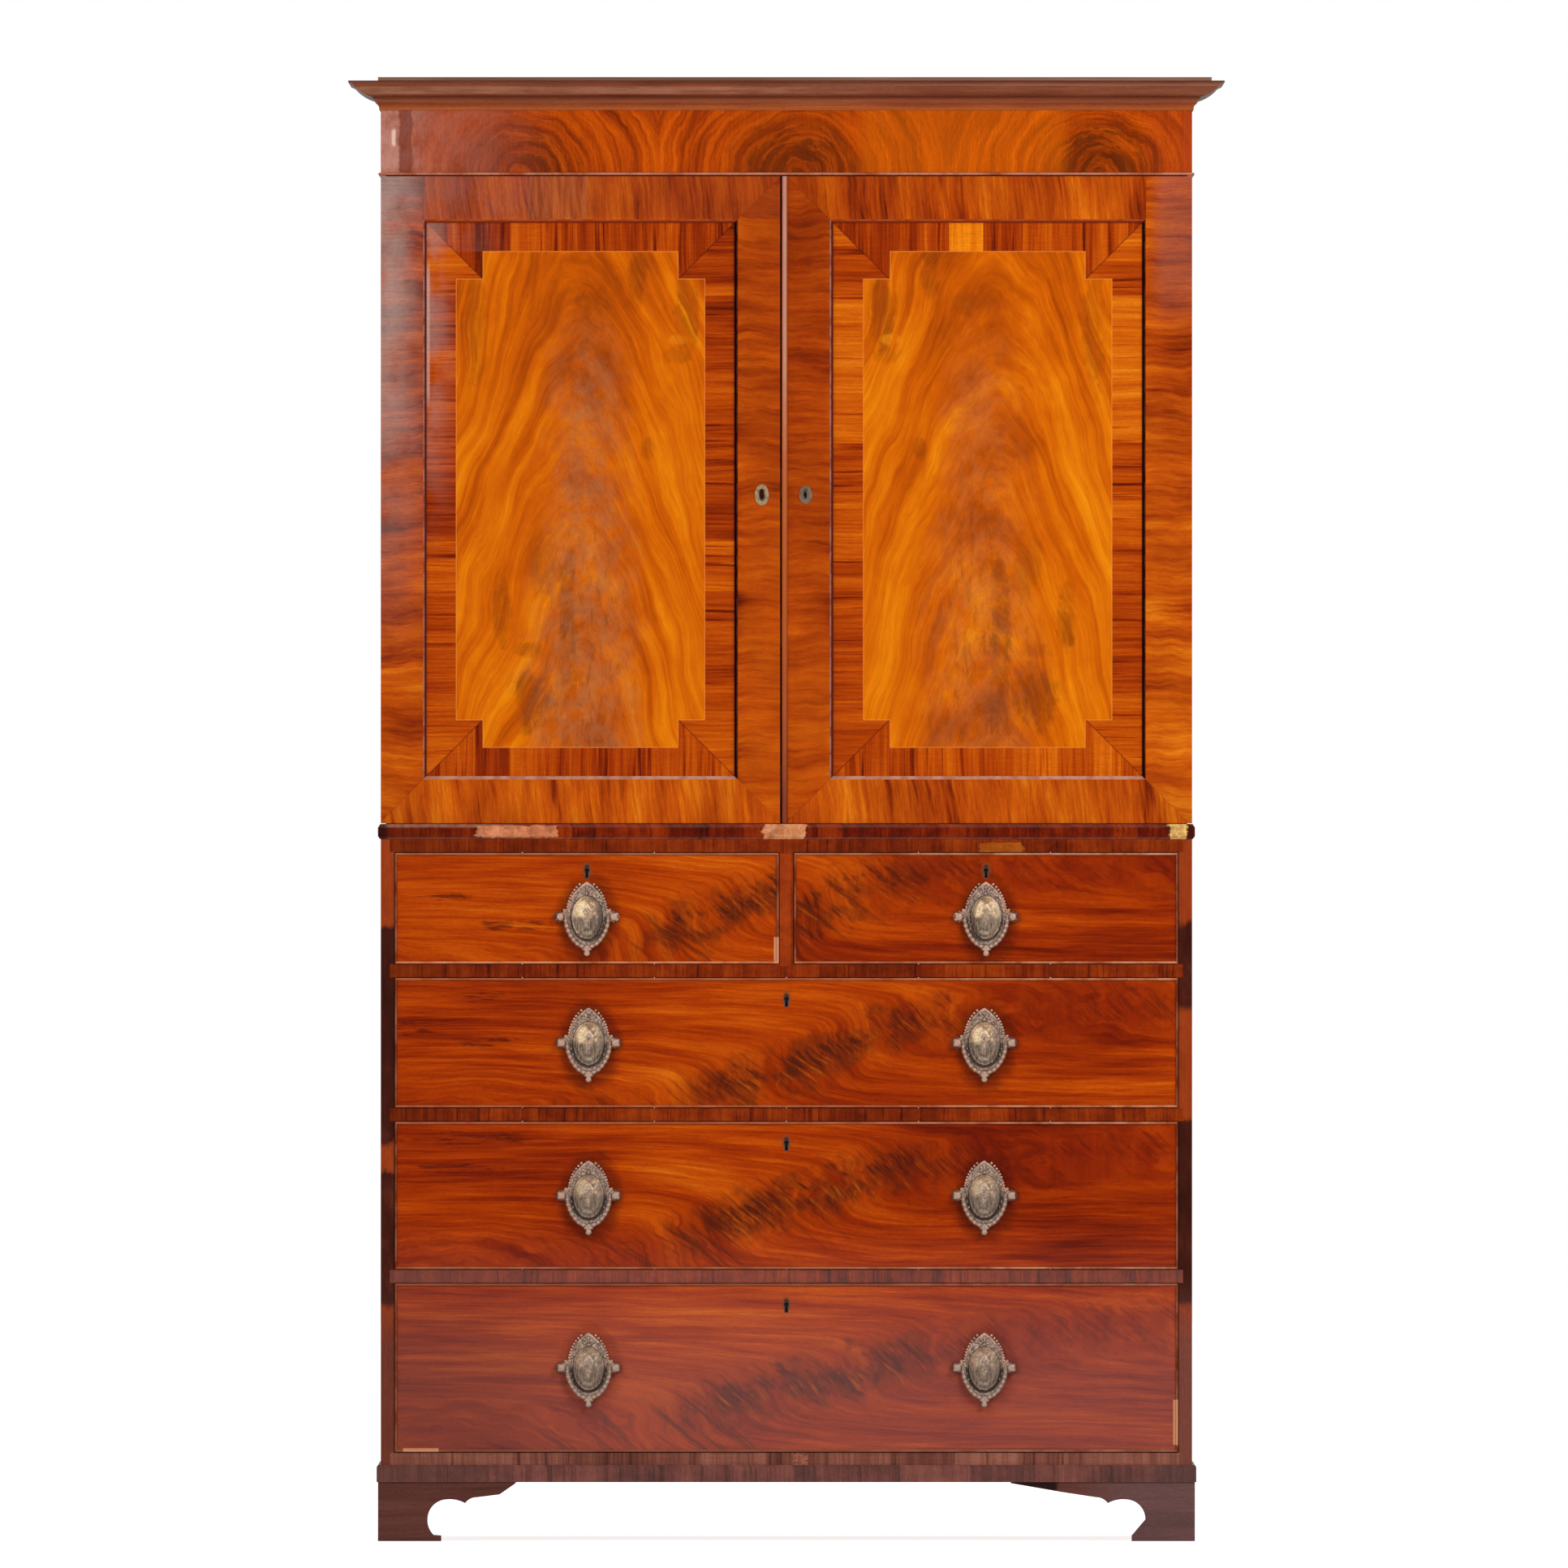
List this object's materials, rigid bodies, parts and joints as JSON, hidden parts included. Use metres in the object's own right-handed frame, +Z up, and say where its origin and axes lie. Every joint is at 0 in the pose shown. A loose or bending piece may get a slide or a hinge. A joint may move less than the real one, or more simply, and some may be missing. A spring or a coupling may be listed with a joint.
{
  "type": "linen press",
  "caption": "Tall mahogany linen press: panelled doors over sliding trays, above a case of drawers with bail handles, on bracket feet, under a loose cornice.",
  "frame": {"origin": "on the floor, under the middle of the piece", "axes": "+Z up, -Y out of the front with the doors and drawers, +X to the right as seen from the front"},
  "size_m": [1.246, 0.6, 2.0825],
  "materials": {
    "case_mahogany": "french polished dark mahogany",
    "frieze_mahogany": "french polished flame mahogany veneer",
    "cornice_mahogany": "polished crossbanded mahogany",
    "door_mahogany": "french polished mahogany veneer",
    "flame_mahogany": "french polished flame mahogany veneer with crossbanding",
    "drawer_mahogany": "french polished figured mahogany veneer",
    "drawer_oak": "bare oak",
    "carcase_pine": "bare aged pine",
    "gilt_brass": "stamped brass, worn lacquer",
    "plain_brass": "plain aged brass"
  },
  "bodies": {
    "case": {"base_moulding": "case_mahogany", "case_hinge_leaves": "plain_brass", "cornice": "cornice_mahogany", "drawer_runners": "carcase_pine", "dust_cover": "carcase_pine", "dustboards": "carcase_pine", "foot_back_left": "case_mahogany", "foot_back_right": "case_mahogany", "foot_front_left": "case_mahogany", "foot_front_right": "case_mahogany", "frieze": "frieze_mahogany", "front_rails": "case_mahogany", "lower_back": "carcase_pine", "lower_bottom": "carcase_pine", "lower_side_left": "case_mahogany", "lower_side_right": "case_mahogany", "lower_top": "carcase_pine", "tray_runners": "drawer_oak", "upper_back": "carcase_pine", "upper_bottom": "carcase_pine", "upper_side_left": "case_mahogany", "upper_side_right": "case_mahogany", "upper_top": "carcase_pine", "waist_moulding": "case_mahogany"},
    "left_door": {"left_door_frame": "door_mahogany", "left_door_panel": "flame_mahogany", "left_door_hinge_leaves": "plain_brass", "left_door_escutcheon": "plain_brass"},
    "right_door": {"right_door_frame": "door_mahogany", "right_door_panel": "flame_mahogany", "right_door_hinge_leaves": "plain_brass", "closing_bead": "door_mahogany", "right_door_lock": "plain_brass"},
    "short_left_drawer": {"short_left_drawer_front": "drawer_mahogany", "short_left_drawer_box": "drawer_oak", "short_left_drawer_fittings": "gilt_brass"},
    "short_left_bail": {"short_left_bail": "gilt_brass"},
    "short_right_drawer": {"short_right_drawer_front": "drawer_mahogany", "short_right_drawer_box": "drawer_oak", "short_right_drawer_fittings": "gilt_brass"},
    "short_right_bail": {"short_right_bail": "gilt_brass"},
    "shallow_drawer": {"shallow_drawer_front": "drawer_mahogany", "shallow_drawer_box": "drawer_oak", "shallow_drawer_fittings": "gilt_brass"},
    "shallow_left_bail": {"shallow_left_bail": "gilt_brass"},
    "shallow_right_bail": {"shallow_right_bail": "gilt_brass"},
    "middle_drawer": {"middle_drawer_front": "drawer_mahogany", "middle_drawer_box": "drawer_oak", "middle_drawer_fittings": "gilt_brass"},
    "middle_left_bail": {"middle_left_bail": "gilt_brass"},
    "middle_right_bail": {"middle_right_bail": "gilt_brass"},
    "deep_drawer": {"deep_drawer_front": "drawer_mahogany", "deep_drawer_box": "drawer_oak", "deep_drawer_fittings": "gilt_brass"},
    "deep_left_bail": {"deep_left_bail": "gilt_brass"},
    "deep_right_bail": {"deep_right_bail": "gilt_brass"},
    "tray_1": {"tray_1": "drawer_oak"},
    "tray_2": {"tray_2": "drawer_oak"},
    "tray_3": {"tray_3": "drawer_oak"},
    "tray_4": {"tray_4": "drawer_oak"}
  },
  "joints": [
    {"name": "left_door_hinge", "type": "hinge", "parent": "case", "child": "left_door", "pos_m": [-0.5738, -0.2295, 1.48125], "axis": [0, 0, -1], "range_deg": [0, 178]},
    {"name": "right_door_hinge", "type": "hinge", "parent": "case", "child": "right_door", "pos_m": [0.5738, -0.2295, 1.48125], "axis": [0, 0, 1], "range_deg": [0, 178]},
    {"name": "short_left_drawer_slide", "type": "slide", "parent": "case", "child": "short_left_drawer", "axis": [0, -1, 0], "range_m": [0, 0.4]},
    {"name": "short_left_bail_pivot", "type": "hinge", "parent": "short_left_drawer", "child": "short_left_bail", "pos_m": [-0.28387, -0.2632, 0.88825], "axis": [-1, 0, 0], "range_deg": [0, 170]},
    {"name": "short_right_drawer_slide", "type": "slide", "parent": "case", "child": "short_right_drawer", "axis": [0, -1, 0], "range_m": [0, 0.4]},
    {"name": "short_right_bail_pivot", "type": "hinge", "parent": "short_right_drawer", "child": "short_right_bail", "pos_m": [0.28387, -0.2632, 0.88825], "axis": [-1, 0, 0], "range_deg": [0, 170]},
    {"name": "shallow_drawer_slide", "type": "slide", "parent": "case", "child": "shallow_drawer", "axis": [0, -1, 0], "range_m": [0, 0.4]},
    {"name": "shallow_left_bail_pivot", "type": "hinge", "parent": "shallow_drawer", "child": "shallow_left_bail", "pos_m": [-0.2815, -0.2632, 0.709], "axis": [-1, 0, 0], "range_deg": [0, 170]},
    {"name": "shallow_right_bail_pivot", "type": "hinge", "parent": "shallow_drawer", "child": "shallow_right_bail", "pos_m": [0.2815, -0.2632, 0.709], "axis": [-1, 0, 0], "range_deg": [0, 170]},
    {"name": "middle_drawer_slide", "type": "slide", "parent": "case", "child": "middle_drawer", "axis": [0, -1, 0], "range_m": [0, 0.4]},
    {"name": "middle_left_bail_pivot", "type": "hinge", "parent": "middle_drawer", "child": "middle_left_bail", "pos_m": [-0.2815, -0.2632, 0.49175], "axis": [-1, 0, 0], "range_deg": [0, 170]},
    {"name": "middle_right_bail_pivot", "type": "hinge", "parent": "middle_drawer", "child": "middle_right_bail", "pos_m": [0.2815, -0.2632, 0.49175], "axis": [-1, 0, 0], "range_deg": [0, 170]},
    {"name": "deep_drawer_slide", "type": "slide", "parent": "case", "child": "deep_drawer", "axis": [0, -1, 0], "range_m": [0, 0.4]},
    {"name": "deep_left_bail_pivot", "type": "hinge", "parent": "deep_drawer", "child": "deep_left_bail", "pos_m": [-0.2815, -0.2632, 0.24675], "axis": [-1, 0, 0], "range_deg": [0, 170]},
    {"name": "deep_right_bail_pivot", "type": "hinge", "parent": "deep_drawer", "child": "deep_right_bail", "pos_m": [0.2815, -0.2632, 0.24675], "axis": [-1, 0, 0], "range_deg": [0, 170]},
    {"name": "tray_1_slide", "type": "slide", "parent": "case", "child": "tray_1", "axis": [0, -1, 0], "range_m": [0, 0.014]},
    {"name": "tray_2_slide", "type": "slide", "parent": "case", "child": "tray_2", "axis": [0, -1, 0], "range_m": [0, 0.014]},
    {"name": "tray_3_slide", "type": "slide", "parent": "case", "child": "tray_3", "axis": [0, -1, 0], "range_m": [0, 0.014]},
    {"name": "tray_4_slide", "type": "slide", "parent": "case", "child": "tray_4", "axis": [0, -1, 0], "range_m": [0, 0.014]}
  ]
}
